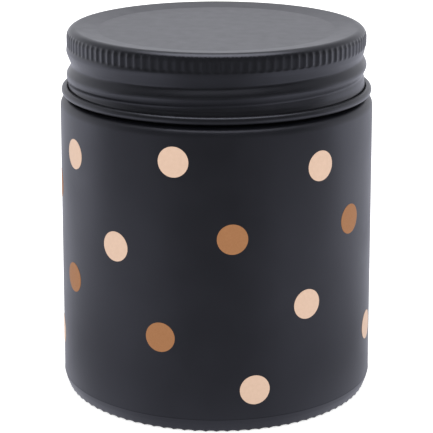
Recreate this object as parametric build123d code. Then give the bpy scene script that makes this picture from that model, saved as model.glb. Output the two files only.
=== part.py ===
from build123d import *
import os
from math import cos, radians, sin, tan

# A black-coated glass candle jar with a rolled-thread metal screw lid, a poured candle and printed dots.
# Millimetres, +Z up. The origin is the centre of the ring that the jar stands on.

os.makedirs("parts", exist_ok=True)

# ---- the jar's driving dimensions ----
RIM_Z = 86.8                # top of the glass
SHOULDER_Z = 72.1           # ledge under the lid
HEEL_Z = 2.9                # line that the mould leaves above the heel
FLOOR_Z = 5.0               # inside floor
HEEL_RADIUS = 37.4          # outside, below the mould line
BODY_RADIUS = 37.7          # outside, above the mould line
SHOULDER_RADIUS = 37.1      # outside, under the shoulder: the wall tapers to here
NECK_RADIUS = 33.5          # outside of the neck, between threads
BORE_RADIUS = 31.0          # inside of the neck
INNER_RADIUS = 34.2         # inside of the body
HEEL_FILLET = 1.4
INNER_HEEL_FILLET = 5.0
SHOULDER_FILLET = 2.3
NECK_FILLET = 0.6
RIM_FILLET = 1.2
BORE_FLARE_TOP_Z = 71.5     # the bore widens into the body between these heights
BORE_FLARE_BOTTOM_Z = 66.5
BORE_FLARE_FILLET = 6.0
PUSH_UP = 1.0               # how far the underside is raised inside the bearing ring
BEARING_INNER_RADIUS = 31.0

# ---- radial grooves across the bearing ring, which give the heel its scalloped edge ----
GROOVE_COUNT = 92
GROOVE_DEPTH = 0.3
GROOVE_WIDTH = 1.3

# ---- the screw thread: six threads to the inch, right-handed ----
PITCH = 25.4 / 6
FLANK_TAN = tan(radians(30))
THREAD_SINK = 0.3           # how far the glass thread's root is sunk into the neck
GLASS_CREST_RADIUS = 34.7
GLASS_CREST_HALF = 0.45     # half the height of the glass thread's flat crest
GLASS_THREAD_Z = 82.91      # height of the glass thread's middle at +X
GLASS_THREAD_FROM = -390    # degrees anticlockwise from +X, seen from above
GLASS_THREAD_TO = 20
LID_CREST_RADIUS = 33.75
LID_CREST_HALF = 0.25
LID_THREAD_Z = 81.41        # height of the lid thread's middle at +X
LID_THREAD_FROM = -500
LID_THREAD_TO = 40

# ---- the lid, pressed from one sheet ----
LID_TOP_Z = 88.0
SHEET = 0.3
LID_RADIUS = 35.2           # outside of the skirt
PANEL_DROP = 0.6            # the centre panel lies this far below the lid's top
PANEL_RADIUS = 28.0         # the lid rises gently from here to its crown
PANEL_FILLET = 4.0
CROWN_RADIUS = 33.2
CROWN_FILLET = 3.0
LID_EDGE_FILLET = 1.65
CURL_RADIUS = 0.8           # to the middle of the sheet
CURL_CENTRE_Z = 73.35
CURL_END = 100              # degrees: the curl stops here, just short of the skirt
KNURL_COUNT = 112
KNURL_CREST_RADIUS = 35.35
KNURL_DEPTH = 0.25
KNURL_WIDTH = 1.45
KNURL_BOTTOM_Z = 83.45
KNURL_TOP_Z = 86.3
LINER_THICKNESS = 0.7       # under the centre panel and the crown
LINER_GAP = 0.1             # between the liner and the lid
LINER_RADIUS = 33.8
LINER_FLAT_RADIUS = 26.5    # the underside is flat to here, and rises to clear the rim
LINER_SEAT_RADIUS = 30.5

# ---- the candle ----
WAX_Z = 64.0
WICK_TOP_Z = 71.0
WICK_RADIUS = 1.2
WICK_CORE_RADIUS = 0.5
TAB_RADIUS = 10.0
TAB_THICKNESS = 0.3
TAB_NECK_RADIUS = 1.5
TAB_NECK_HEIGHT = 6.0
STICKER_THICKNESS = 1.0

# ---- labels and print ----
LABEL_RADIUS = 22.0
LABEL_THICKNESS = 0.15
DOT_RADIUS = 3.6
DOT_THICKNESS = 0.06
# (degrees from the front towards +X, height) of one half turn's dots; the other half repeats them
BLUSH_DOTS = [
    (-82.5, 14),
    (-61.5, 61.2),
    (-38, 42.6),
    (-15, 64.1),
    (13.5, 10.5),
    (33.5, 29.4),
    (39, 61.4),
    (73, 17.3),
]
COPPER_DOTS = [
    (-82.5, 51),
    (-63.5, 31),
    (-20, 22.8),
    (5.5, 46.6),
    (55.5, 46.7),
]


def wall_radius(z):
    """Radius of the jar's tapered outside wall at a height."""
    share = (z - HEEL_Z) / (SHOULDER_Z - HEEL_Z)
    return BODY_RADIUS + (SHOULDER_RADIUS - BODY_RADIUS) * share


def turned(points, fillets):
    """A solid of revolution about Z from a closed outline of (radius, height) points and its fillets."""
    outline = FilletPolyline(points, radius=fillets, close=True)
    return revolve(Plane.XZ * make_face(outline), Axis.Z)


def half_width(crest_half, crest_radius, radius):
    """Half the height of a thread at a radius, with its flanks at the thread angle."""
    return crest_half + abs(radius - crest_radius) * FLANK_TAN


def thread(crest_radius, crest_half, root_radius, middle_z, from_angle, to_angle):
    """A trapezoid swept up the thread's helix; middle_z is the height of its middle at +X."""
    root_half = half_width(crest_half, crest_radius, root_radius)
    path = Helix(pitch=PITCH, height=PITCH * (to_angle - from_angle) / 360, radius=crest_radius)
    root_x = root_radius - crest_radius
    outline = Polygon(
        (0, -crest_half), (0, crest_half), (root_x, root_half), (root_x, -root_half), align=None
    )
    section = Plane(origin=path @ 0, x_dir=(1, 0, 0), z_dir=path % 0) * outline
    swept = sweep(section, path, is_frenet=True)
    return Location((0, 0, middle_z + PITCH * from_angle / 360), (0, 0, from_angle)) * swept


def bearing_grooves():
    """Shallow round-bottomed grooves that run out across the bearing ring."""
    tool_radius = (GROOVE_WIDTH**2 / 4 + GROOVE_DEPTH**2) / (2 * GROOVE_DEPTH)
    length = BODY_RADIUS - BEARING_INNER_RADIUS + 2
    tool = Cylinder(tool_radius, length, rotation=(0, 90, 0))
    tool = Pos(BEARING_INNER_RADIUS - 1 + length / 2, 0, GROOVE_DEPTH - tool_radius) * tool
    # half a step round, so that a flat land lies on each axis
    step = 360 / GROOVE_COUNT
    return [Rot(0, 0, step * (index + 0.5)) * tool for index in range(GROOVE_COUNT)]


def glass_jar():
    """The jar: heel, tapered wall, shoulder, threaded neck and rounded rim, open inside."""
    points = [
        (0, PUSH_UP),
        (BEARING_INNER_RADIUS - PUSH_UP, PUSH_UP),
        (BEARING_INNER_RADIUS, 0),
        (HEEL_RADIUS, 0),
        (HEEL_RADIUS, HEEL_Z),
        (BODY_RADIUS, HEEL_Z),
        (SHOULDER_RADIUS, SHOULDER_Z),
        (NECK_RADIUS, SHOULDER_Z),
        (NECK_RADIUS, RIM_Z),
        (BORE_RADIUS, RIM_Z),
        (BORE_RADIUS, BORE_FLARE_TOP_Z),
        (INNER_RADIUS, BORE_FLARE_BOTTOM_Z),
        (INNER_RADIUS, FLOOR_Z),
        (0, FLOOR_Z),
    ]
    fillets = [
        0,
        0,
        0,
        HEEL_FILLET,
        0,
        0,
        SHOULDER_FILLET,
        NECK_FILLET,
        RIM_FILLET,
        RIM_FILLET,
        BORE_FLARE_FILLET,
        BORE_FLARE_FILLET,
        INNER_HEEL_FILLET,
        0,
    ]
    body = turned(points, fillets) - bearing_grooves()
    return body + thread(
        GLASS_CREST_RADIUS,
        GLASS_CREST_HALF,
        NECK_RADIUS - THREAD_SINK,
        GLASS_THREAD_Z,
        GLASS_THREAD_FROM,
        GLASS_THREAD_TO,
    )


def dots(motif):
    """Printed dots on the outside wall: the motif on the front half, and again on the back half."""
    bottom = (wall_radius(HEEL_Z), HEEL_Z)
    top = (wall_radius(SHOULDER_Z), SHOULDER_Z)
    corners = [bottom, (bottom[0] + DOT_THICKNESS, HEEL_Z), (top[0] + DOT_THICKNESS, SHOULDER_Z), top]
    film = revolve(Plane.XZ * make_face(Polyline(corners, close=True)), Axis.Z)
    outer_half = Cylinder(DOT_RADIUS, BODY_RADIUS * 2, align=(Align.CENTER, Align.CENTER, Align.MIN))
    printed = []
    for azimuth, z in motif:
        for side in (0, 180):
            angle = azimuth - 90 + side
            spot = Location((0, 0, z), (0, 0, angle)) * Rot(0, 90, 0) * outer_half
            printed.append(film & spot)
    return Compound(children=[dot.solid() for dot in printed])


def lid_line():
    """Middle line of the lid's sheet from its centre to where the curl starts, and its fillets."""
    half = SHEET / 2
    top = LID_TOP_Z - half
    skirt = LID_RADIUS - half
    points = [
        (0, top - PANEL_DROP),
        (PANEL_RADIUS, top - PANEL_DROP),
        (CROWN_RADIUS, top),
        (skirt, top),
        (skirt, CURL_CENTRE_Z),
    ]
    fillets = [PANEL_FILLET, CROWN_FILLET, LID_EDGE_FILLET - half]
    return points, fillets


def knurls():
    """Round-bottomed flutes to cut down the lid's knurled band."""
    tool_radius = (KNURL_WIDTH**2 / 4 + KNURL_DEPTH**2) / (2 * KNURL_DEPTH)
    middle_z = (KNURL_BOTTOM_Z + KNURL_TOP_Z) / 2
    tool = Cylinder(tool_radius, KNURL_TOP_Z - KNURL_BOTTOM_Z)
    tool = Pos(KNURL_CREST_RADIUS - KNURL_DEPTH + tool_radius, 0, middle_z) * tool
    return [Rot(0, 0, 360 / KNURL_COUNT * index) * tool for index in range(KNURL_COUNT)]


def knurled_band():
    """The raised ring of flutes round the top of the skirt."""
    height = KNURL_TOP_Z - KNURL_BOTTOM_Z
    middle_z = (KNURL_BOTTOM_Z + KNURL_TOP_Z) / 2
    ring = Cylinder(KNURL_CREST_RADIUS, height) - Cylinder(LID_RADIUS - SHEET / 2, height)
    return Pos(0, 0, middle_z) * ring - knurls()


def lid_shell():
    """The lid: dished top, knurled band, skirt with a thread rolled into it, and a curled lower edge."""
    points, fillets = lid_line()
    line = FilletPolyline(points, radius=fillets)
    curl_centre = (points[-1][0] + CURL_RADIUS, CURL_CENTRE_Z)
    curl = CenterArc(curl_centre, CURL_RADIUS, 180, CURL_END + 180)
    sheet = revolve(Plane.XZ * trace(line + curl, SHEET), Axis.Z)
    sheet -= knurls()
    sheet += knurled_band()
    ridge = thread(
        LID_CREST_RADIUS,
        LID_CREST_HALF,
        LID_RADIUS - SHEET / 2,
        LID_THREAD_Z,
        LID_THREAD_FROM,
        LID_THREAD_TO,
    )
    # the outside groove is the ridge moved out by the sheet's thickness, square to the flank
    groove_half = LID_CREST_HALF + SHEET * FLANK_TAN - SHEET / cos(radians(30))
    groove = thread(
        LID_CREST_RADIUS + SHEET,
        groove_half,
        LID_RADIUS + SHEET,
        LID_THREAD_Z,
        LID_THREAD_FROM,
        LID_THREAD_TO,
    )
    return sheet + ridge - groove


def lid_liner():
    """A foam disc pressed to the lid's inside and squeezed thinner where it seals on the rim."""
    crown_z = LID_TOP_Z - SHEET - LINER_GAP
    panel_z = crown_z - PANEL_DROP
    points = [
        (0, panel_z),
        (PANEL_RADIUS, panel_z),
        (CROWN_RADIUS, crown_z),
        (LINER_RADIUS, crown_z),
        (LINER_RADIUS, crown_z - LINER_THICKNESS),
        (LINER_SEAT_RADIUS, crown_z - LINER_THICKNESS),
        (LINER_FLAT_RADIUS, panel_z - LINER_THICKNESS),
        (0, panel_z - LINER_THICKNESS),
    ]
    return revolve(Plane.XZ * make_face(Polyline(points, close=True)), Axis.Z)


def tab_floor_z():
    """Height of the wick tab's underside, on its sticker."""
    return FLOOR_Z + STICKER_THICKNESS


def wax():
    """The poured wax, hollow where the wick, its tab and the sticker are set in it."""
    tab_z = tab_floor_z()
    points = [
        (WICK_RADIUS, WAX_Z),
        (WICK_RADIUS, tab_z + TAB_NECK_HEIGHT),
        (TAB_NECK_RADIUS, tab_z + TAB_NECK_HEIGHT),
        (TAB_NECK_RADIUS, tab_z + TAB_THICKNESS),
        (TAB_RADIUS, tab_z + TAB_THICKNESS),
        (TAB_RADIUS, FLOOR_Z),
        (INNER_RADIUS, FLOOR_Z),
        (INNER_RADIUS, WAX_Z),
    ]
    return turned(points, [0, 0, 0, 0, 0, 0, INNER_HEEL_FILLET, 0])


def standing_cylinder(radius, bottom, top):
    """A cylinder on the axis between two heights."""
    return Pos(0, 0, (bottom + top) / 2) * Cylinder(radius, top - bottom)


def wick_core():
    """The paper core that keeps the wick upright."""
    return standing_cylinder(WICK_CORE_RADIUS, tab_floor_z(), WICK_TOP_Z)


def wick_braid():
    """The cotton braid round the core."""
    return standing_cylinder(WICK_RADIUS, tab_floor_z(), WICK_TOP_Z) - wick_core()


def wick_tab():
    """The pressed metal disc with a neck crimped round the wick."""
    bottom = tab_floor_z()
    disc = standing_cylinder(TAB_RADIUS, bottom, bottom + TAB_THICKNESS)
    neck = standing_cylinder(TAB_NECK_RADIUS, bottom, bottom + TAB_NECK_HEIGHT)
    return disc + neck - standing_cylinder(WICK_RADIUS, bottom, bottom + TAB_NECK_HEIGHT)


def wick_sticker():
    """The double-sided foam disc that holds the tab to the glass."""
    return standing_cylinder(TAB_RADIUS, FLOOR_Z, tab_floor_z())


def base_label():
    """A blank round label in the hollow of the underside."""
    return standing_cylinder(LABEL_RADIUS, PUSH_UP - LABEL_THICKNESS, PUSH_UP)


NODES = {
    "glass_jar": glass_jar(),
    "blush_dots": dots(BLUSH_DOTS),
    "copper_dots": dots(COPPER_DOTS),
    "wax": wax(),
    "wick_braid": wick_braid(),
    "wick_core": wick_core(),
    "wick_tab": wick_tab(),
    "wick_sticker": wick_sticker(),
    "base_label": base_label(),
    "lid_shell": lid_shell(),
    "lid_liner": lid_liner(),
}

for name, shape in NODES.items():
    export_step(shape, f"parts/{name}.step")
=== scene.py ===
import math

import bpy
import numpy as np
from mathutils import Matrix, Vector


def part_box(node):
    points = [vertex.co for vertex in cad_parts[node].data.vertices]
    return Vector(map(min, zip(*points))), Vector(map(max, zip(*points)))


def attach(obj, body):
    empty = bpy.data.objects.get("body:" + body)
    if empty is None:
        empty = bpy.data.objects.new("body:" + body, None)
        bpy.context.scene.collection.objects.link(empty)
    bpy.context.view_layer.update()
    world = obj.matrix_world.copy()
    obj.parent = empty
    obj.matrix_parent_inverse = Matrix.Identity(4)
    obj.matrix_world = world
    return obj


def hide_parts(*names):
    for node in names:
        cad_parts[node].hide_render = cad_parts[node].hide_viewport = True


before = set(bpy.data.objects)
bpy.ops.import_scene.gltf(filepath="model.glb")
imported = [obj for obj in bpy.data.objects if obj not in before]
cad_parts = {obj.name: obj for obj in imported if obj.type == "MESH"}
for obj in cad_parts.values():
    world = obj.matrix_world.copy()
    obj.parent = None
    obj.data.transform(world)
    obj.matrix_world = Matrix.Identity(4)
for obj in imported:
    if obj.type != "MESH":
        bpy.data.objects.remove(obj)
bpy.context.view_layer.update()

# A black-coated glass candle jar with a knurled screw lid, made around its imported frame.
# Shapes are worked out in millimetres and written in metres. The jar stands on z 0 and faces -Y.
MM = 0.001

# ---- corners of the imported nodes' boxes ----
JAR_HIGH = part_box("glass_jar")[1] / MM
LID_LOW, LID_HIGH = (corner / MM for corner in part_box("lid_shell"))
LINER_LOW, LINER_HIGH = (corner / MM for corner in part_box("lid_liner"))
WAX_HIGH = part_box("wax")[1] / MM
WICK_LOW, WICK_HIGH = (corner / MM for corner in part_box("wick_braid"))
TAB_LOW, TAB_HIGH = (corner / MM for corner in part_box("wick_tab"))
STICKER_LOW, STICKER_HIGH = (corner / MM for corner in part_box("wick_sticker"))
LABEL_LOW, LABEL_HIGH = (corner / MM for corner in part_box("base_label"))

# ---- the jar ----
RIM_Z = JAR_HIGH.z
BODY_RADIUS = JAR_HIGH.x            # widest, at the mould line
SHOULDER_RADIUS = BODY_RADIUS - 0.6
HEEL_RADIUS = BODY_RADIUS - 0.3
FOOT_RADIUS = BODY_RADIUS - 1.1     # outer edge of the bearing ring, on which the jar stands
BEARING_RADIUS = 31.0               # inner edge of the bearing ring
NECK_RADIUS = 33.5
BORE_RADIUS = 31.0                  # inside the neck
INNER_RADIUS = 34.2                 # inside the body
SHOULDER_Z = 71.85
BORE_END_Z = 71.5                   # the inside widens below this height
BODY_INSIDE_Z = 66.5                # and has its full width below this one
HEEL_Z = 3.4                        # height of the mould line
FLOOR_Z = STICKER_LOW.z
PUSH_UP = LABEL_HIGH.z              # height of the hollow under the jar
GROOVE_COUNT = 92                   # radial grooves in the bearing ring
GROOVE_DEPTH = 0.24

# ---- the screw thread ----
# Angles along a thread are in degrees anticlockwise from +X. The thread rises with them, and the pairs of
# angles are the stretches over which it grows at its start and fades at its end.
PITCH = 25.4 / 6
LID_THREAD_Z = 81.41                # height of the lid's groove at +X
LID_GROOVE_START = (-560, -470)
LID_GROOVE_END = (-60, 110)
LID_LAP_CHANGE = (-420, -120)       # here the lower lap's section turns into the upper lap's
# the lower and the upper lap's section
LID_GROOVE_DEPTH = (0.7, 1.15)
LID_GROOVE_ABOVE = (1.5, 3.2)       # how far it reaches above its bottom
LID_GROOVE_BELOW = (3.0, 1.7)       # and below its bottom
LID_GROOVE_BLUNT = 0.3              # roundness of its bottom
LID_GROOVE_POWER = 1.25             # 1 would give straight flanks
GLASS_THREAD_RISE = 2.1             # how far the glass thread lies above the lid's groove
GLASS_THREAD_START = (-400, -355)
GLASS_THREAD_END = (-25, 20)
GLASS_THREAD_HEIGHT = 1.2           # how far it stands out of the neck
GLASS_THREAD_ABOVE = 0.95           # its reach above and below its crest
GLASS_THREAD_BELOW = 1.95
GLASS_THREAD_CREST = 0.12           # the share of its reach that is flat

# ---- the lid ----
LID_TOP_Z = LID_HIGH.z
CURL_OUTER = LID_HIGH.x
LIP_ANGLE = 112                     # the curl ends here, in degrees above its outermost point
SHEET = 0.3
SKIRT_RADIUS = 35.2                 # at the curl
SKIRT_BULGE_RADIUS = 35.5           # above it, before the thread is rolled in
SKIRT_FOOT_Z = 74.6                 # the skirt has its lower radius below this height
BULGE_FOOT_Z = 76.2                 # and its upper radius above this one
PANEL_DROP = 0.6                    # the lid's flat centre lies this far below its crown
PANEL_RADIUS = 28.0
CROWN_RADIUS = 33.2
BEND = 1.5                          # rounding of the sheet's plain bends
CROWN_ROUNDING = 3.0
LID_EDGE_ROUNDING = 2.0
KNURL_COUNT = 112
KNURL_CREST = 35.35
KNURL_DEPTH = 0.22
KNURL_BOTTOM_Z = 83.8
KNURL_TOP_Z = 87.1
PRESSED_RADII = (33.9, 34.6)        # the flutes and the thread fade in over these radii
ROLLED_LOW = (74.2, 75.2)           # the rolled thread fades in over these heights
ROLLED_HIGH = (83.4, 84.6)          # and out over these

# ---- the candle ----
CLEARANCE = 0.02                    # between pieces that touch in the real candle
TAB_SHEET = 0.3
WICK_STRANDS = 4                    # wound each way round the core
STRAND_RADIUS = 0.33
STRAND_THICKNESS = 0.62             # of a flattened strand, as a share of a round one's
STRAND_WIDTH = 1.1
STRAND_TURN = 5.6                   # height of one turn of a strand
STRAND_WEAVE = 0.1                  # how far it goes in and out where strands cross

# ---- the printed dots ----
# (degrees from the front towards +X, height) of one half turn's dots; the other half repeats them
BLUSH_DOTS = [
    (-82.5, 14),
    (-61.5, 61.2),
    (-38, 42.6),
    (-15, 64.1),
    (13.5, 10.5),
    (33.5, 29.4),
    (39, 61.4),
    (73.5, 17),
]
COPPER_DOTS = [
    (-82.5, 51),
    (-63.5, 31),
    (-20, 22.8),
    (5.5, 46.6),
    (55.5, 46.7),
]
DOT_RADIUS = 3.52
DOT_SIDES = 48
DOT_TOP = 0.045                     # the ink's face, above the wall
DOT_ROOT = -0.03                    # its hidden back, in the wall
# (share of the dot's radius, height above the wall) of each ring of its section
DOT_RINGS = [(0.5, DOT_TOP), (0.85, DOT_TOP), (0.96, 0.04), (1.0, 0.02), (1.0, DOT_ROOT), (0.5, DOT_ROOT)]

# ---- how finely round shapes are divided ----
SEGMENTS_PER_WAVE = 6
LID_SEGMENTS = KNURL_COUNT * SEGMENTS_PER_WAVE
JAR_SEGMENTS = GROOVE_COUNT * SEGMENTS_PER_WAVE
PLAIN_SEGMENTS = 192
ARC_STEP = 9                        # degrees turned by each straight piece of a rounded corner
SHARP_ANGLE = 35                    # edges that turn more than this many degrees stay sharp

# ---- the camera, in metres and degrees ----
CAMERA_PLACE = (0, -0.407, 0.1626)
CAMERA_TILT = 16.65                 # below level
CAMERA_LENS = 145
CAMERA_SENSOR = 36

# ---- the light ----
ROOM_LEVEL = 1.05                   # what everything but a glossy surface sees all round
FLOOR_GLOW = 0.65
STUDIO_TINT = (0.98, 0.99, 1.07, 1)
BLUE_SHEEN = (0.9, 0.91, 1.0, 1.0)
FLOOR_TINT = (0.95, 0.965, 1.1, 1)
FRONT_LEVEL = 0.42                  # brightness of the floor's reflection straight ahead of the jar
SIDE_LEVEL = 1.45                   # to its sides, away from the jar
NEAR_SIDE_LEVEL = 0.42 * SIDE_LEVEL  # and close to the jar
BACK_LEVEL = 1.1                    # behind it
SOFTBOX_LEVEL = 3.7                 # brightness of the light overhead


# ---------------------------------------------------------------- outlines and meshes


def smoothstep(low, high, value):
    """0 below low, 1 above high, and a smooth step between them; low may be above high."""
    share = np.clip((value - low) / (high - low), 0, 1)
    return share * share * (3 - 2 * share)


def window(value, rise, fall):
    """1 in a middle stretch: it steps up smoothly over the pair rise, and down over the pair fall."""
    return smoothstep(*rise, value) * smoothstep(fall[1], fall[0], value)


def corner_arc(before, corner, after, radius):
    """Points of the arc that rounds one corner of an outline."""
    before, corner, after = (np.array(point, float) for point in (before, corner, after))
    back = (before - corner) / np.linalg.norm(before - corner)
    ahead = (after - corner) / np.linalg.norm(after - corner)
    half = math.acos(np.clip(back @ ahead, -1, 1)) / 2
    inward = (back + ahead) / np.linalg.norm(back + ahead)
    centre = corner + inward * radius / math.sin(half)
    start = corner + back * radius / math.tan(half) - centre
    turn = math.pi - 2 * half
    sense = math.copysign(1, start[0] * (corner - centre)[1] - start[1] * (corner - centre)[0])
    count = max(2, round(math.degrees(turn) / ARC_STEP))
    points = []
    for angle in sense * turn * np.arange(count + 1) / count:
        cos, sin = np.cos(angle), np.sin(angle)
        points.append(tuple(centre + (start[0] * cos - start[1] * sin, start[0] * sin + start[1] * cos)))
    return points


def rounded(corners):
    """An open outline of (radius, height) points from corners of (radius, height, rounding)."""
    points = [tuple(corners[0][:2])]
    for before, corner, after in zip(corners, corners[1:], corners[2:]):
        if corner[2]:
            points += corner_arc(before[:2], corner[:2], after[:2], corner[2])
        else:
            points.append(tuple(corner[:2]))
    points.append(tuple(corners[-1][:2]))
    return points


def arc(centre, radius, start, end, count):
    """Points along an arc, between two angles in degrees."""
    angles = np.radians(np.linspace(start, end, count))
    return [(centre[0] + radius * math.cos(a), centre[1] + radius * math.sin(a)) for a in angles]


def divided(points, low, high, step):
    """The outline with extra points wherever it runs between two heights, at most step apart."""
    made = [points[0]]
    for first, second in zip(points, points[1:]):
        inside = min(first[1], second[1]) < high and max(first[1], second[1]) > low
        count = max(1, math.ceil(math.dist(first, second) / step)) if inside else 1
        for index in range(1, count + 1):
            share = index / count
            made.append(tuple(a + (b - a) * share for a, b in zip(first, second)))
    return made


def add_mesh(verts, faces, more_verts, more_faces):
    """Appends one mesh's vertices and faces to the lists of another."""
    faces.extend(tuple(index + len(verts) for index in face) for face in more_faces)
    verts.extend(more_verts)


def new_object(name, verts, faces, slots=None):
    """A smooth-shaded object from vertices in millimetres, with the material slot of each face."""
    mesh = bpy.data.meshes.new(name)
    mesh.from_pydata((np.asarray(verts) * MM).tolist(), [], faces)
    mesh.validate()
    if slots is not None:
        mesh.polygons.foreach_set("material_index", slots)
    mesh.polygons.foreach_set("use_smooth", [True] * len(mesh.polygons))
    mesh.set_sharp_from_angle(angle=math.radians(SHARP_ANGLE))
    made = bpy.data.objects.new(name, mesh)
    bpy.context.scene.collection.objects.link(made)
    return made


def lathe(name, outline, segments, closed=False, shape=None, material_of=None):
    """Turns an outline about Z. An open outline starts and ends on the axis; a closed one is a ring.
    shape(angle, radius, height) may move points, and material_of(radius, height) picks each face's slot."""
    points = np.array(outline if closed else outline[1:-1], float)
    angles = np.radians(np.arange(segments) * 360 / segments)
    angle, radius = np.meshgrid(angles, points[:, 0])
    height = np.repeat(points[:, 1:], segments, axis=1)
    if shape:
        radius, height = shape(angle, radius, height)
    verts = np.stack([radius * np.cos(angle), radius * np.sin(angle), height], axis=-1).reshape(-1, 3)
    rows = len(points)
    row_pairs = [(row, (row + 1) % rows) for row in range(rows if closed else rows - 1)]
    faces = []
    for low, high in row_pairs:
        for here in range(segments):
            there = (here + 1) % segments
            lower, upper = low * segments, high * segments
            faces.append((lower + here, lower + there, upper + there, upper + here))
    if not closed:
        bottom, top = len(verts), len(verts) + 1
        verts = np.vstack([verts, [[0, 0, outline[0][1]], [0, 0, outline[-1][1]]]])
        last = (rows - 1) * segments
        for here in range(segments):
            there = (here + 1) % segments
            faces.append((bottom, there, here))
            faces.append((top, last + here, last + there))
    slots = None
    if material_of:
        middles = [np.mean([verts[v] for v in face], axis=0) for face in faces]
        slots = [material_of(math.hypot(x, y), z) for x, y, z in middles]
    return new_object(name, verts, faces, slots)


# ---------------------------------------------------------------- the lid


def groove_depth(angle, height):
    """Depth of the thread rolled into the lid's skirt."""
    depth = np.zeros_like(height)
    for lap in (-2, -1, 0, 1):
        along = np.degrees(angle) + 360 * lap
        upper = smoothstep(*LID_LAP_CHANGE, along)
        deepest, reach_above, reach_below = (
            low + (high - low) * upper for low, high in (LID_GROOVE_DEPTH, LID_GROOVE_ABOVE, LID_GROOVE_BELOW)
        )
        above = height - (LID_THREAD_Z + PITCH * along / 360)
        away = np.hypot(above, LID_GROOVE_BLUNT) - LID_GROOVE_BLUNT
        share = 1 - away / np.where(above > 0, reach_above, reach_below)
        fade = window(along, LID_GROOVE_START, LID_GROOVE_END)
        depth += fade * deepest * np.clip(share, 0, 1) ** LID_GROOVE_POWER
    return depth


def knurl_depth(angle, height):
    """Depth of the flutes round the lid's knurled band."""
    rib = 0.5 - 0.5 * np.cos(KNURL_COUNT * angle)
    lower_end = (KNURL_BOTTOM_Z - 0.2, KNURL_BOTTOM_Z + 0.4)
    upper_end = (KNURL_TOP_Z - 0.5, KNURL_TOP_Z + 0.4)
    return KNURL_DEPTH * (1 - rib**2) * window(height, lower_end, upper_end)


def shape_lid(angle, radius, height):
    """Presses the flutes and rolls the thread into the lid's skirt, and leaves its top and curl alone."""
    on_skirt = smoothstep(*PRESSED_RADII, radius) * (radius < SKIRT_BULGE_RADIUS + 0.1)
    outside = radius > SKIRT_RADIUS - SHEET / 2
    groove = groove_depth(angle, height) * window(height, ROLLED_LOW, ROLLED_HIGH)
    flutes = knurl_depth(angle, height) * np.where(outside, 1, 0.5)
    return radius - on_skirt * (groove + flutes), height


def lid_outline():
    """The lid's closed section: over the top, down the skirt, round the curl and back up inside."""
    panel_z = LID_TOP_Z - PANEL_DROP
    half = SHEET / 2
    curl_radius = (CURL_OUTER - SKIRT_RADIUS) / 2
    curl_centre = (SKIRT_RADIUS - half + curl_radius, LID_LOW.z + curl_radius + half)
    curl_start, curl_end = 190, 360 + LIP_ANGLE
    lip_centre = arc(curl_centre, curl_radius, LIP_ANGLE, LIP_ANGLE, 1)[0]
    outer = rounded(
        [
            (0, panel_z, 0),
            (PANEL_RADIUS, panel_z, BEND),
            (CROWN_RADIUS, LID_TOP_Z, CROWN_ROUNDING),
            (KNURL_CREST, LID_TOP_Z - 0.02, LID_EDGE_ROUNDING),
            (KNURL_CREST, KNURL_BOTTOM_Z, BEND),
            (SKIRT_BULGE_RADIUS, KNURL_BOTTOM_Z - 1.2, BEND),
            (SKIRT_BULGE_RADIUS, BULGE_FOOT_Z, BEND),
            (SKIRT_RADIUS, SKIRT_FOOT_Z, 1.0),
            (SKIRT_RADIUS, curl_centre[1], 0),
        ]
    )
    outer += arc(curl_centre, curl_radius - half, curl_start, curl_end, 16)
    outer += arc(lip_centre, half, LIP_ANGLE + 145, LIP_ANGLE + 35, 4)
    inner = arc(curl_centre, curl_radius + half, curl_end, curl_start, 22)
    inner += rounded(
        [
            (SKIRT_RADIUS - SHEET, curl_centre[1], 0),
            (SKIRT_RADIUS - SHEET, LID_TOP_Z - SHEET, 1.3),
            (CROWN_RADIUS, LID_TOP_Z - SHEET, CROWN_ROUNDING),
            (PANEL_RADIUS, panel_z - SHEET, BEND),
            (0, panel_z - SHEET, 0),
        ]
    )
    fine, coarse = 0.22, 0.6
    return divided(outer, SKIRT_FOOT_Z, KNURL_TOP_Z, fine) + divided(inner, SKIRT_FOOT_Z, KNURL_TOP_Z, coarse)


def make_lid():
    """The pressed lid, in its black coating."""
    lid = lathe("lid", lid_outline()[::-1], LID_SEGMENTS, shape=shape_lid)
    lid.data.materials.append(lid_coating())
    return lid


# ---------------------------------------------------------------- the jar


def glass_thread(angle, height):
    """How far the glass thread stands out of the neck."""
    ridge = np.zeros_like(height)
    for lap in (-2, -1, 0):
        along = np.degrees(angle) + 360 * lap
        above = height - (LID_THREAD_Z + GLASS_THREAD_RISE + PITCH * along / 360)
        reach = np.where(above > 0, GLASS_THREAD_ABOVE, GLASS_THREAD_BELOW)
        bulge = GLASS_THREAD_HEIGHT * smoothstep(1, GLASS_THREAD_CREST, np.abs(above) / reach)
        ridge += window(along, GLASS_THREAD_START, GLASS_THREAD_END) * bulge
    return ridge


def bearing_groove(angle, radius, height):
    """Lift of the underside at the radial grooves of the bearing ring."""
    wave = 0.5 + 0.5 * np.cos(GROOVE_COUNT * angle)
    scallop = 1 - wave**3
    ring = smoothstep(BEARING_RADIUS - 0.2, BEARING_RADIUS + 0.6, radius)
    return GROOVE_DEPTH * scallop * ring * smoothstep(1.3, 0.05, height)


def shape_jar(angle, radius, height):
    """Raises the neck's thread and cuts the bearing ring's grooves."""
    on_neck = (radius > NECK_RADIUS - 0.05) & (height > SHOULDER_Z + 1) & (height < RIM_Z - 1)
    radius = radius + on_neck * glass_thread(angle, height)
    return radius, height + bearing_groove(angle, radius, height)


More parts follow.
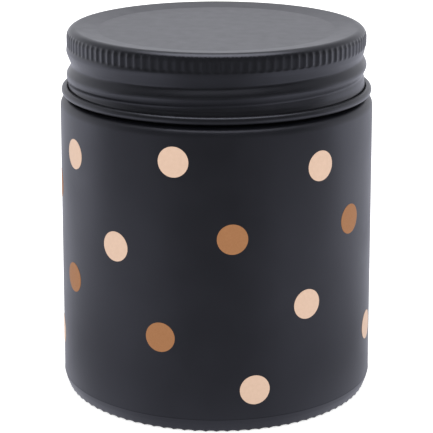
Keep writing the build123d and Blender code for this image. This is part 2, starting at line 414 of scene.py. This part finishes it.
def jar_outline():
    """The jar's closed section: underside, heel, wall, shoulder, neck, rim and inside."""
    line = 0.05  # how far the mould line stands out
    outline = rounded(
        [
            (0, PUSH_UP, 0),
            (BEARING_RADIUS - 1.6, PUSH_UP, 0.8),
            (BEARING_RADIUS, 0, 0.4),
            (FOOT_RADIUS, 0, 0.5),
            (HEEL_RADIUS, HEEL_Z - 1.2, 2.0),
            (BODY_RADIUS, HEEL_Z - line, 0.12),
            (BODY_RADIUS - line, HEEL_Z + 0.15, 0.1),
            (SHOULDER_RADIUS, SHOULDER_Z, 2.3),
            (NECK_RADIUS, SHOULDER_Z, 0.6),
            (NECK_RADIUS, RIM_Z, 1.2),
            (BORE_RADIUS, RIM_Z, 1.2),
            (BORE_RADIUS, BORE_END_Z, 6.0),
            (INNER_RADIUS, BODY_INSIDE_Z, 6.0),
            (INNER_RADIUS, FLOOR_Z, 5.0),
            (0, FLOOR_Z, 0),
        ]
    )
    outline = divided(outline, SHOULDER_Z + 3, RIM_Z - 1, 0.25)  # for the thread
    return divided(outline, -1, 0.6, 0.5)  # for the bearing ring's grooves


def jar_surface(radius, height):
    """Material slot of a point of the jar: 0 for the coated outside, 1 for the bare glass inside."""
    inside_radius = BORE_RADIUS + 0.9 if height > BORE_END_Z - 1.5 else INNER_RADIUS + 0.3
    return int(radius < inside_radius and height > FLOOR_Z - 0.5)


def make_jar():
    """The glass jar: satin black outside, glossy black where the coating shows through the glass."""
    jar = lathe("jar", jar_outline(), JAR_SEGMENTS, shape=shape_jar, material_of=jar_surface)
    jar.data.materials.append(jar_coating())
    jar.data.materials.append(inside_glass())
    return jar


# ---------------------------------------------------------------- the printed dots


def wall_radius(height):
    """Radius of the jar's tapered outside wall at a height."""
    share = (height - HEEL_Z) / (SHOULDER_Z - HEEL_Z)
    return BODY_RADIUS + (SHOULDER_RADIUS - BODY_RADIUS) * share


def on_wall(azimuth, height, across, up, lift):
    """The place of a dot's flat point on the curved wall."""
    z = height + up
    radius = wall_radius(z) + lift
    bearing = math.radians(azimuth - 90) + math.asin(across / radius)
    return radius * math.cos(bearing), radius * math.sin(bearing), z


def dot_mesh(azimuth, height):
    """Vertices and faces of one printed dot wrapped onto the wall: a thin film with a rounded edge."""
    verts = [on_wall(azimuth, height, 0.0, 0.0, DOT_TOP)]
    for share, lift in DOT_RINGS:
        for step in range(DOT_SIDES):
            angle = math.tau * step / DOT_SIDES
            reach = share * DOT_RADIUS
            verts.append(on_wall(azimuth, height, reach * math.cos(angle), reach * math.sin(angle), lift))
    verts.append(on_wall(azimuth, height, 0.0, 0.0, DOT_ROOT))
    ahead = [(step + 1) % DOT_SIDES for step in range(DOT_SIDES)]
    faces = [(0, 1 + here, 1 + there) for here, there in enumerate(ahead)]
    for ring in range(len(DOT_RINGS) - 1):
        start = 1 + ring * DOT_SIDES
        after = start + DOT_SIDES
        for here, there in enumerate(ahead):
            faces.append((start + here, after + here, after + there, start + there))
    start = 1 + (len(DOT_RINGS) - 1) * DOT_SIDES
    back = len(verts) - 1
    faces += [(back, start + there, start + here) for here, there in enumerate(ahead)]
    return verts, faces


def make_dots(name, motif, material):
    """All dots of one ink: the motif on the front half, and again on the back half."""
    verts, faces = [], []
    for azimuth, height in motif:
        for side in (0, 180):
            add_mesh(verts, faces, *dot_mesh(azimuth + side, height))
    made = new_object(name, verts, faces)
    made.data.materials.append(material)
    return made


# ---------------------------------------------------------------- the candle inside


def make_wax():
    """The poured wax: climbs a little at the glass and round the wick, and holds the wick's tab."""
    top = WAX_HIGH.z
    level = top - 0.85
    wick_hole = WICK_HIGH.x + CLEARANCE
    neck_hole = 1.55
    outside = INNER_RADIUS - CLEARANCE
    tab_top = TAB_LOW.z + TAB_SHEET
    surface = [
        (wick_hole, top - 0.1),
        (wick_hole + 0.25, top - 0.25),
        (wick_hole + 0.9, top - 0.55),
        (wick_hole + 2.2, top - 0.75),
        (wick_hole + 6, level),
        (18, level),
        (27, level),
        (31.5, top - 0.75),
        (33.2, top - 0.5),
        (33.9, top - 0.2),
        (outside, top),
    ]
    wall = rounded([(outside, top - 2, 0), (outside, FLOOR_Z, 5.0), (12, FLOOR_Z, 0)])
    pocket = [
        (TAB_HIGH.x, FLOOR_Z),
        (TAB_HIGH.x, tab_top),
        (neck_hole, tab_top),
        (neck_hole, TAB_HIGH.z),
        (wick_hole, TAB_HIGH.z),
    ]

    def settle(angle, radius, height):
        """Gentle unevenness of the set surface."""
        free = (height > top - 1.2) * window(radius, (2, 6), (30, INNER_RADIUS))
        swirl = 0.05 * np.sin(3 * angle + radius * 0.18) + 0.06 * np.sin(2 * angle - radius * 0.11 + 1.3)
        return radius, height + free * swirl

    wax = lathe("poured_wax", (surface + wall + pocket)[::-1], PLAIN_SEGMENTS, closed=True, shape=settle)
    wax.data.materials.append(wax_material())
    return wax


def braid_strand(start, sense, high, radius):
    """Centre line of one strand that winds round the wick, over and under the others."""
    low = WICK_LOW.z
    steps = int((high - low) / STRAND_TURN * 40)
    points = []
    for index in range(steps + 1):
        z = low + (high - low) * index / steps
        turned = math.tau * (z - low) / STRAND_TURN
        r = radius + STRAND_WEAVE * sense * math.cos(WICK_STRANDS * turned)
        angle = start + sense * turned
        points.append(np.array((r * math.cos(angle), r * math.sin(angle), z)))
    return points


def flattened_tube(points, sides=7):
    """Vertices and faces of a strand with closed ends along a line: thin outwards, wide sideways."""
    verts, faces = [], []
    for index, point in enumerate(points):
        ahead = points[min(index + 1, len(points) - 1)] - points[max(index - 1, 0)]
        ahead = ahead / np.linalg.norm(ahead)
        outward = np.array((point[0], point[1], 0.0))
        outward -= ahead * (outward @ ahead)
        outward /= np.linalg.norm(outward)
        sideways = np.cross(ahead, outward)
        for side in range(sides):
            angle = math.tau * side / sides
            thin = STRAND_THICKNESS * math.cos(angle) * outward
            wide = STRAND_WIDTH * math.sin(angle) * sideways
            verts.append(point + STRAND_RADIUS * (thin + wide))
    for here in range(0, (len(points) - 1) * sides, sides):
        for side in range(sides):
            there = (side + 1) % sides
            faces.append((here + side, here + there, here + sides + there, here + sides + side))
    faces.append(tuple(range(sides))[::-1])
    faces.append(tuple((len(points) - 1) * sides + side for side in range(sides)))
    return verts, faces


def make_wick():
    """The cotton braid: its strands wind each way round the paper core, and end at uneven heights."""
    radius = WICK_HIGH.x - STRAND_RADIUS * STRAND_THICKNESS - STRAND_WEAVE
    verts, faces = [], []
    for sense, first in ((1, 0), (-1, math.tau / WICK_STRANDS / 2)):
        for index in range(WICK_STRANDS):
            start = first + math.tau * index / WICK_STRANDS
            line = braid_strand(start, sense, WICK_HIGH.z - 0.05 * index, radius)
            add_mesh(verts, faces, *flattened_tube(line))
    wick = new_object("wick", verts, faces)
    wick.data.materials.append(cotton_material())
    return wick


def make_wick_core():
    """The paper core: a twisted cord with a blunt cut end."""
    radius = 0.93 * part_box("wick_core")[1].x / MM

    def twist(angle, ring, height):
        """Shallow ridges of the twisted paper."""
        return ring * (1 + 0.08 * np.cos(3 * angle - height * 2.2)), height

    corners = [
        (0, WICK_LOW.z, 0),
        (radius, WICK_LOW.z, 0.05),
        (radius, WICK_HIGH.z, 0.12),
        (0, WICK_HIGH.z, 0),
    ]
    outline = divided(rounded(corners), WICK_LOW.z - 1, WICK_HIGH.z + 1, 0.35)
    core = lathe("wick_paper_core", outline, 24, shape=twist)
    core.data.materials.append(paper_material())
    return core


def make_tab():
    """The pressed tinplate disc with a bead round its middle and a crimped neck."""
    low = TAB_LOW.z
    top = low + TAB_SHEET
    rim = TAB_HIGH.x
    bore = WICK_HIGH.x + CLEARANCE
    neck = 1.5

    def crimp(angle, radius, height):
        """Three dents that grip the wick, halfway up the neck."""
        dent = 0.12 * smoothstep(0.6, 1, np.cos(3 * angle)) * np.exp(-(((height - low - 4) / 0.8) ** 2))
        return radius - dent * (radius < 2) * (radius > bore + 0.05), height

    outline = [
        (bore, low),
        (rim - 0.1, low),
        (rim, low + 0.1),
        (rim, top - 0.08),
        (rim - 0.1, top),
        (7.2, top),
        (6.6, top - 0.06),
        (6.0, top),
        (neck + 0.4, top),
        (neck, top + 0.25),
        (neck, TAB_HIGH.z - 0.1),
        (neck - 0.08, TAB_HIGH.z),
        (bore, TAB_HIGH.z),
    ]
    outline = divided(outline, low + 1, TAB_HIGH.z, 0.4)
    tab = lathe("wick_tab_plate", outline, 96, closed=True, shape=crimp)
    tab.data.materials.append(tinplate_material())
    return tab


def disc(name, radius, low, high, edge, material):
    """A round pad with a softened edge."""
    outline = rounded([(0, low, 0), (radius, low, edge), (radius, high, edge), (0, high, 0)])
    made = lathe(name, outline, PLAIN_SEGMENTS)
    made.data.materials.append(material)
    return made


def make_sticker():
    """The foam disc that holds the tab to the jar's floor."""
    return disc("sticker", STICKER_HIGH.x - CLEARANCE, STICKER_LOW.z, STICKER_HIGH.z, 0.15, foam_material())


def make_label():
    """A blank paper label with a printed ring just inside its edge."""
    return disc("label", LABEL_HIGH.x, LABEL_LOW.z, LABEL_HIGH.z, 0.05, label_material())


def make_liner():
    """The foam liner, pressed to the lid's shape, with the mark of the rim in it."""
    low, high, edge = LINER_LOW.z, LINER_HIGH.z, LINER_HIGH.x
    seat = high - 0.7
    mark_radius = 32.2
    outline = rounded(
        [
            (0, low, 0),
            (26.5, low, 1.5),
            (30.5, seat, 1.5),
            (edge, seat, 0.25),
            (edge, high, 0.25),
            (CROWN_RADIUS, high, 1.0),
            (PANEL_RADIUS, high - PANEL_DROP, 1.0),
            (0, high - PANEL_DROP, 0),
        ]
    )

    def press(angle, radius, height):
        """A faint ring where the glass rim bears on the foam."""
        mark = 0.05 * np.exp(-(((radius - mark_radius) / 0.6) ** 2)) * (height < seat + 0.1)
        return radius, height + mark

    liner = lathe("liner_foam_disc", divided(outline, low, high, 0.5), PLAIN_SEGMENTS, shape=press)
    liner.data.materials.append(foam_material())
    return liner


# ---------------------------------------------------------------- materials


def material(name, color, roughness, **inputs):
    """A Principled material of one colour and roughness, with any of the shader's other inputs set."""
    made = bpy.data.materials.new(name)
    made.use_nodes = True
    shader = made.node_tree.nodes["Principled BSDF"]
    shader.inputs["Base Color"].default_value = (*color, 1)
    shader.inputs["Roughness"].default_value = roughness
    for key, value in inputs.items():
        shader.inputs[key.replace("_", " ")].default_value = value
    return made


def node(tree, kind, **settings):
    """A new node with its properties set."""
    made = tree.nodes.new(kind)
    for key, value in settings.items():
        setattr(made, key, value)
    return made


def spread(tree, source, start, end, low, high, smooth=False):
    """A value that runs from low to high while source runs from start to end."""
    made = node(tree, "ShaderNodeMapRange", interpolation_type="SMOOTHSTEP" if smooth else "LINEAR")
    made.inputs["From Min"].default_value = start
    made.inputs["From Max"].default_value = end
    made.inputs["To Min"].default_value = low
    made.inputs["To Max"].default_value = high
    tree.links.new(source, made.inputs["Value"])
    return made.outputs["Result"]


def calculate(tree, operation, first, second):
    """The result of one math node on an output and a second input, which is a number or another output."""
    made = node(tree, "ShaderNodeMath", operation=operation)
    tree.links.new(first, made.inputs[0])
    if isinstance(second, float):
        made.inputs[1].default_value = second
    else:
        tree.links.new(second, made.inputs[1])
    return made.outputs["Value"]


def mix(tree, factor, number, output):
    """The number where factor is 0, the output where it is 1, and a blend between."""
    made = node(tree, "ShaderNodeMix")
    made.inputs["A"].default_value = number
    tree.links.new(factor, made.inputs["Factor"])
    tree.links.new(output, made.inputs["B"])
    return made.outputs["Result"]


def noise(made, size_mm, detail=2.0, stretch=(1, 1, 1)):
    """The output of a noise texture in object space, whose features are about size_mm across."""
    tree = made.node_tree
    place = node(tree, "ShaderNodeTexCoord")
    scale = node(tree, "ShaderNodeMapping")
    scale.inputs["Scale"].default_value = stretch
    texture = node(tree, "ShaderNodeTexNoise")
    texture.inputs["Scale"].default_value = 1 / (size_mm * MM)
    texture.inputs["Detail"].default_value = detail
    tree.links.new(place.outputs["Object"], scale.inputs["Vector"])
    tree.links.new(scale.outputs["Vector"], texture.inputs["Vector"])
    return texture.outputs["Fac"]


def color_ramp(made, source, *stops):
    """Sets a material's base colour from source, by (position, colour) stops."""
    tree = made.node_tree
    ramp = node(tree, "ShaderNodeValToRGB")
    elements = ramp.color_ramp.elements
    for index, (position, color) in enumerate(stops):
        element = elements[index] if index < 2 else elements.new(position)
        element.position = position
        element.color = (*color, 1)
    tree.links.new(source, ramp.inputs["Fac"])
    tree.links.new(ramp.outputs["Color"], tree.nodes["Principled BSDF"].inputs["Base Color"])


def set_color(made, source, low, high):
    """Varies a material's base colour with source, between two colours."""
    color_ramp(made, source, (0.3, low), (0.7, high))


def set_roughness(made, source, low, high):
    """Varies a material's roughness with source."""
    tree = made.node_tree
    roughness = tree.nodes["Principled BSDF"].inputs["Roughness"]
    tree.links.new(spread(tree, source, 0, 1, low, high), roughness)


def add_bump(made, source, height_mm, strength):
    """Adds a bump layer over any that the material already has."""
    tree = made.node_tree
    shader = tree.nodes["Principled BSDF"]
    bump = node(tree, "ShaderNodeBump")
    bump.inputs["Strength"].default_value = strength
    bump.inputs["Distance"].default_value = height_mm * MM
    tree.links.new(source, bump.inputs["Height"])
    if shader.inputs["Normal"].is_linked:
        tree.links.new(shader.inputs["Normal"].links[0].from_socket, bump.inputs["Normal"])
    tree.links.new(bump.outputs["Normal"], shader.inputs["Normal"])


def jar_coating():
    """Sprayed satin black on glass: faint orange peel, and slight unevenness of sheen."""
    made = material("jar_coating", (0.005, 0.0052, 0.0075), 0.38, Specular_Tint=BLUE_SHEEN)
    set_color(made, noise(made, 9), (0.0042, 0.0044, 0.0064), (0.006, 0.0062, 0.0088))
    set_roughness(made, noise(made, 12, detail=4), 0.32, 0.45)
    add_bump(made, noise(made, 1.1), 0.012, 0.5)
    add_bump(made, noise(made, 0.12), 0.004, 0.5)
    return made


def lid_coating():
    """Matte black lacquer on tinplate: a fine even grain."""
    made = material("lid_coating", (0.004, 0.0042, 0.0056), 0.33, Specular_Tint=BLUE_SHEEN)
    set_color(made, noise(made, 5), (0.0036, 0.0038, 0.005), (0.005, 0.0052, 0.0068))
    set_roughness(made, noise(made, 3, detail=4), 0.29, 0.37)
    add_bump(made, noise(made, 0.18), 0.006, 0.6)
    return made


def inside_glass():
    """Clear glass with the black coating behind it."""
    made = material("glass_over_black", (0.004, 0.004, 0.005), 0.06, Coat_Weight=1.0, Coat_Roughness=0.02)
    set_roughness(made, noise(made, 7), 0.04, 0.1)
    add_bump(made, noise(made, 8), 0.03, 0.3)
    return made


def blush_ink():
    """Screen-printed blush ink: flat, with a faint mottle."""
    made = material("blush_ink", (0.608, 0.426, 0.318), 0.5, Specular_IOR_Level=0.2)
    set_color(made, noise(made, 0.8, detail=3), (0.593, 0.414, 0.308), (0.623, 0.438, 0.328))
    set_roughness(made, noise(made, 0.5), 0.45, 0.6)
    add_bump(made, noise(made, 0.15), 0.003, 0.5)
    return made


def copper_ink():
    """Screen-printed copper ink: flat, with fine pigment."""
    made = material("copper_ink", (0.308, 0.141, 0.061), 0.5, Specular_IOR_Level=0.08)
    set_color(made, noise(made, 0.35, detail=3), (0.293, 0.133, 0.057), (0.323, 0.149, 0.065))
    set_roughness(made, noise(made, 0.4), 0.4, 0.6)
    add_bump(made, noise(made, 0.12), 0.003, 0.5)
    return made


def wax_material():
    """Soy wax: creamy, slightly translucent, with faint frosting."""
    made = material(
        "soy_wax",
        (0.84, 0.78, 0.66),
        0.42,
        Subsurface_Weight=0.35,
        Subsurface_Scale=0.002,
    )
    set_color(made, noise(made, 7, detail=4), (0.8, 0.73, 0.6), (0.88, 0.83, 0.72))
    set_roughness(made, noise(made, 2.5, detail=4), 0.34, 0.55)
    add_bump(made, noise(made, 3, detail=3), 0.05, 0.5)
    add_bump(made, noise(made, 0.4), 0.01, 0.4)
    return made


def cotton_material():
    """Waxed cotton yarn: fine fibres along the strands."""
    made = material("waxed_cotton", (0.82, 0.78, 0.68), 0.75, Sheen_Weight=0.3)
    set_color(made, noise(made, 0.25, stretch=(1, 1, 0.35)), (0.7, 0.64, 0.52), (0.88, 0.85, 0.77))
    set_roughness(made, noise(made, 0.4), 0.6, 0.85)
    add_bump(made, noise(made, 0.08, stretch=(1, 1, 0.3)), 0.03, 0.7)
    return made


def paper_material():
    """Twisted paper of the wick's core."""
    made = material("core_paper", (0.7, 0.64, 0.54), 0.85)
    set_color(made, noise(made, 0.2, stretch=(1, 1, 0.4)), (0.62, 0.56, 0.46), (0.76, 0.7, 0.6))
    set_roughness(made, noise(made, 0.3), 0.75, 0.95)
    add_bump(made, noise(made, 0.1), 0.02, 0.6)
    return made


def tinplate_material():
    """Bright tinplate with fine rolling lines."""
    made = material("tinplate", (0.6, 0.6, 0.58), 0.3, Metallic=1.0)
    set_color(made, noise(made, 1.5), (0.54, 0.54, 0.52), (0.66, 0.66, 0.64))
    set_roughness(made, noise(made, 0.5, stretch=(1, 12, 1)), 0.22, 0.4)
    add_bump(made, noise(made, 0.4, stretch=(1, 15, 1)), 0.004, 0.5)
    return made


def foam_material():
    """White closed-cell foam: small cells and a soft surface."""
    made = material("white_foam", (0.8, 0.8, 0.78), 0.7, Subsurface_Weight=0.15, Subsurface_Scale=0.001)
    set_color(made, noise(made, 0.5, detail=3), (0.76, 0.76, 0.74), (0.84, 0.84, 0.82))
    set_roughness(made, noise(made, 0.6), 0.6, 0.8)
    add_bump(made, noise(made, 0.35), 0.03, 0.6)
    return made


def label_material():
    """Uncoated pale paper with one dark printed ring near its edge."""
    paper, ink = (0.72, 0.69, 0.63), (0.03, 0.03, 0.032)
    made = material("label_paper", paper, 0.85)
    tree = made.node_tree
    place = node(tree, "ShaderNodeTexCoord")
    flat = node(tree, "ShaderNodeVectorMath", operation="MULTIPLY")
    flat.inputs[1].default_value = (1, 1, 0)
    length = node(tree, "ShaderNodeVectorMath", operation="LENGTH")
    tree.links.new(place.outputs["Object"], flat.inputs[0])
    tree.links.new(flat.outputs["Vector"], length.inputs[0])
    share = spread(tree, length.outputs["Value"], 0, LABEL_HIGH.x * MM, 0, 1)
    color_ramp(made, share, (0.905, paper), (0.91, ink), (0.93, ink), (0.935, paper))
    set_roughness(made, noise(made, 0.5), 0.8, 0.92)
    add_bump(made, noise(made, 0.25, detail=4), 0.015, 0.5)
    return made


# ---------------------------------------------------------------- camera, floor and light


def make_camera():
    """A long lens a little above the jar, looking down at it from the front."""
    data = bpy.data.cameras.new("camera")
    data.sensor_width = CAMERA_SENSOR
    data.lens = CAMERA_LENS
    data.clip_start = 0.01
    camera = bpy.data.objects.new("camera", data)
    camera.location = CAMERA_PLACE
    camera.rotation_euler = (math.radians(90 - CAMERA_TILT), 0, 0)
    bpy.context.scene.collection.objects.link(camera)
    bpy.context.scene.camera = camera


def square(name, size):
    """A flat square centred on its own origin, facing its own +Z."""
    mesh = bpy.data.meshes.new(name)
    half = size / 2
    corners = [(-half, -half, 0), (half, -half, 0), (half, half, 0), (-half, half, 0)]
    mesh.from_pydata(corners, [], [(0, 1, 2, 3)])
    made = bpy.data.objects.new(name, mesh)
    bpy.context.scene.collection.objects.link(made)
    return made


def make_floor():
    """A wide plain pale floor, lit a little from within so that shadows stay soft."""
    floor = square("floor", 8)
    white = material("floor_white", (0.93, 0.93, 0.93), 0.9, Specular_IOR_Level=0.0)
    shader = white.node_tree.nodes["Principled BSDF"]
    shader.inputs["Emission Color"].default_value = (1, 1, 1, 1)
    shader.inputs["Emission Strength"].default_value = FLOOR_GLOW
    floor.data.materials.append(white)


def floor_level(tree):
    """Brightness of the floor's reflection, from the distance in metres and the direction from the jar.
    The direction is its Y share: -1 straight ahead of the jar, 0 at its sides and 1 straight behind."""
    place = node(tree, "ShaderNodeTexCoord")
    length = node(tree, "ShaderNodeVectorMath", operation="LENGTH")
    bearing = node(tree, "ShaderNodeVectorMath", operation="NORMALIZE")
    parts = node(tree, "ShaderNodeSeparateXYZ")
    tree.links.new(place.outputs["Object"], length.inputs[0])
    tree.links.new(place.outputs["Object"], bearing.inputs[0])
    tree.links.new(bearing.outputs["Vector"], parts.inputs["Vector"])
    distance = length.outputs["Value"]
    direction = parts.outputs["Y"]
    side = spread(tree, distance, 0.065, 0.2, NEAR_SIDE_LEVEL, SIDE_LEVEL)
    sideways = spread(tree, direction, -1.0, -0.7, 0.0, 1.0, smooth=True)
    not_behind = spread(tree, direction, 0.1, 0.6, 1.0, 0.0)
    touching = spread(tree, distance, 0.04, 0.07, 1.7, 1.0)
    far = spread(tree, distance, 0.205, 0.28, 1.0, 0.2)
    in_front = calculate(tree, "LESS_THAN", direction, 0.0)
    level = mix(tree, not_behind, BACK_LEVEL, mix(tree, sideways, FRONT_LEVEL, side))
    for share in (touching, mix(tree, in_front, 1.0, far)):
        level = calculate(tree, "MULTIPLY", level, share)
    return level


def make_floor_reflection():
    """A card just over the floor that only glossy surfaces see: bright at the sides, dark far in front."""
    card = square("floor_reflection", 4)
    card.location = (0, 0, 0.0004)
    made = bpy.data.materials.new("floor_reflection")
    made.use_nodes = True
    tree = made.node_tree
    tree.nodes.clear()
    glow = node(tree, "ShaderNodeEmission")
    output = node(tree, "ShaderNodeOutputMaterial")
    glow.inputs["Color"].default_value = FLOOR_TINT
    tree.links.new(floor_level(tree), glow.inputs["Strength"])
    tree.links.new(glow.outputs["Emission"], output.inputs["Surface"])
    card.data.materials.append(made)
    card.visible_camera = False
    card.visible_diffuse = False
    card.visible_shadow = False
    card.visible_transmission = False


def studio_level(tree):
    """Brightness of the room in a reflection, by direction: dark in front, bright behind and overhead."""
    place = node(tree, "ShaderNodeTexCoord")
    parts = node(tree, "ShaderNodeSeparateXYZ")
    tree.links.new(place.outputs["Generated"], parts.inputs["Vector"])
    back = parts.outputs["Y"]
    up = parts.outputs["Z"]
    behind = spread(tree, back, -0.4, 0.2, 0.2, 1.0, smooth=True)
    low = spread(tree, up, 0.2, 0.6, 1.0, 0.55, smooth=True)
    overhead = spread(tree, up, 0.84, 0.93, 0.0, SOFTBOX_LEVEL, smooth=True)
    not_front = spread(tree, back, -0.45, -0.3, 0.0, 1.0, smooth=True)
    softbox = calculate(tree, "MULTIPLY", overhead, not_front)
    return calculate(tree, "ADD", calculate(tree, "MULTIPLY", behind, low), softbox)


def make_light():
    """White light all round, in which glossy surfaces see a studio and a darker floor instead."""
    world = bpy.data.worlds.new("studio")
    bpy.context.scene.world = world
    world.use_nodes = True
    tree = world.node_tree
    background = tree.nodes["Background"]
    glossy = node(tree, "ShaderNodeLightPath").outputs["Is Glossy Ray"]
    tint = node(tree, "ShaderNodeMix", data_type="RGBA")
    tint.inputs["A"].default_value = (1, 1, 1, 1)
    tint.inputs["B"].default_value = STUDIO_TINT
    tree.links.new(glossy, tint.inputs["Factor"])
    tree.links.new(tint.outputs["Result"], background.inputs["Color"])
    tree.links.new(mix(tree, glossy, ROOM_LEVEL, studio_level(tree)), background.inputs["Strength"])
    make_floor_reflection()
    bpy.context.scene.view_settings.view_transform = "Standard"


# ---------------------------------------------------------------- the whole object


def place(piece, body, slot, *nodes):
    """Attaches a piece to the body it rides on and hides the CAD nodes it stands for; slot is not used."""
    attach(piece, body)
    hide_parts(*nodes)


place(make_jar(), "jar", "coated_glass", "glass_jar")
place(make_dots("dots_blush", BLUSH_DOTS, blush_ink()), "jar", "blush_ink", "blush_dots")
place(make_dots("dots_copper", COPPER_DOTS, copper_ink()), "jar", "copper_ink", "copper_dots")
place(make_wax(), "jar", "wax", "wax")
place(make_wick(), "jar", "cotton", "wick_braid")
place(make_wick_core(), "jar", "paper", "wick_core")
place(make_tab(), "jar", "tinplate", "wick_tab")
place(make_sticker(), "jar", "adhesive_foam", "wick_sticker")
place(make_label(), "jar", "label_paper", "base_label")
place(make_liner(), "liner", "liner_foam", "lid_liner")
place(make_lid(), "lid", "lid_metal", "lid_shell")
make_camera()
make_floor()
make_light()
